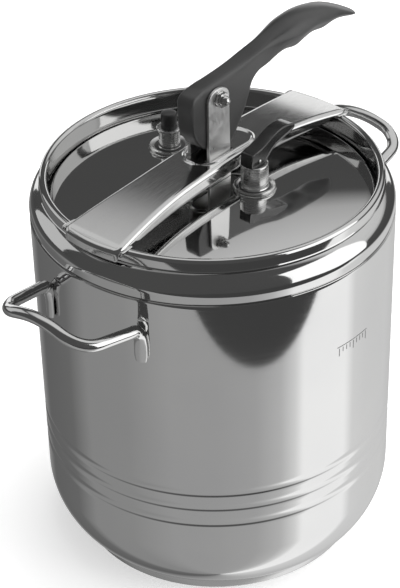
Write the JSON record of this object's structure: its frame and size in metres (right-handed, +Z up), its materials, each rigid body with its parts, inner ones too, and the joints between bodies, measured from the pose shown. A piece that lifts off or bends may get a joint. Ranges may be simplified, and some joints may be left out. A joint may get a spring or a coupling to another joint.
{
  "type": "pressure canner",
  "caption": "Tall stainless steel pressure pot with an inner lid held by a bridge and cam lever, two loop handles, a flip steam valve and a safety valve.",
  "frame": {"origin": "centre of the flat base, on the surface that the pot stands on", "axes": "+Z up; +X along the bridge towards the lever's grip; the steam valve is on the -Y side"},
  "size_m": [0.3066, 0.22, 0.3248],
  "materials": {
    "polished_steel": "mirror polished stainless steel",
    "base_steel": "spun stainless steel",
    "core_aluminium": "plain aluminium",
    "handle_steel": "polished stainless wire",
    "bridge_steel": "polished pressed stainless steel",
    "lid_steel": "mirror polished stainless steel",
    "bracket_steel": "satin stainless sheet",
    "fastener_steel": "bright plated",
    "valve_steel": "turned and polished stainless steel",
    "spring_steel": "drawn wire",
    "gasket_rubber": "matt food grade rubber",
    "black_phenolic": "satin moulded phenolic",
    "black_plunger": "satin moulded nylon"
  },
  "bodies": {
    "pot": {"pot_body": "polished_steel", "base_core": "core_aluminium", "base_cap": "base_steel", "front_handle": "handle_steel", "rear_handle": "handle_steel"},
    "bridge_bar": {"bridge": "bridge_steel"},
    "lid": {"lid_plate": "lid_steel", "lid_gasket": "gasket_rubber", "lever_bracket": "bracket_steel", "backing_plate": "bracket_steel", "bracket_rivets": "fastener_steel", "pivot_bolt": "fastener_steel", "pivot_washers": "fastener_steel", "pivot_nut": "fastener_steel", "valve_body": "valve_steel", "valve_cap": "valve_steel", "valve_seal": "gasket_rubber", "valve_nut": "fastener_steel", "valve_spring": "spring_steel", "indicator_body": "valve_steel", "indicator_seal": "gasket_rubber", "indicator_nut": "fastener_steel", "indicator_spring": "spring_steel"},
    "closing_lever": {"lever": "black_phenolic", "lever_bush": "fastener_steel"},
    "steam_stem": {"valve_stem": "valve_steel", "toggle_pin": "fastener_steel"},
    "toggle": {"valve_toggle": "black_phenolic"},
    "safety_plunger": {"indicator_plunger": "black_plunger"}
  },
  "joints": [
    {"name": "closure_lift", "type": "slide", "parent": "pot", "child": "bridge_bar", "axis": [0, 0, 1], "range_m": [0, 0.12]},
    {"name": "lid_drop", "type": "slide", "parent": "bridge_bar", "child": "lid", "axis": [0, 0, -1], "range_m": [0, 0.0155]},
    {"name": "lever_turn", "type": "hinge", "parent": "lid", "child": "closing_lever", "pos_m": [-0.002, 0, 0.303], "axis": [0, -1, 0], "range_deg": [0, 80]},
    {"name": "valve_lift", "type": "slide", "parent": "lid", "child": "steam_stem", "axis": [0, 0, 1], "range_m": [0, 0.0044], "deforming": ["valve_spring"]},
    {"name": "toggle_turn", "type": "hinge", "parent": "steam_stem", "child": "toggle", "pos_m": [0.007, -0.0272, 0.2654], "axis": [0, -1, 0], "range_deg": [0, 50]},
    {"name": "plunger_lift", "type": "slide", "parent": "lid", "child": "safety_plunger", "axis": [0, 0, 1], "range_m": [0, 0.004], "stiffness_N_per_m": 150, "springref_m": -0.002, "deforming": ["indicator_spring"]}
  ],
  "couplings": [
    {"joint": "lid_drop", "follows": "lever_turn", "m_per_rad": 0.011},
    {"joint": "valve_lift", "follows": "toggle_turn", "m_per_rad": 0.005}
  ]
}
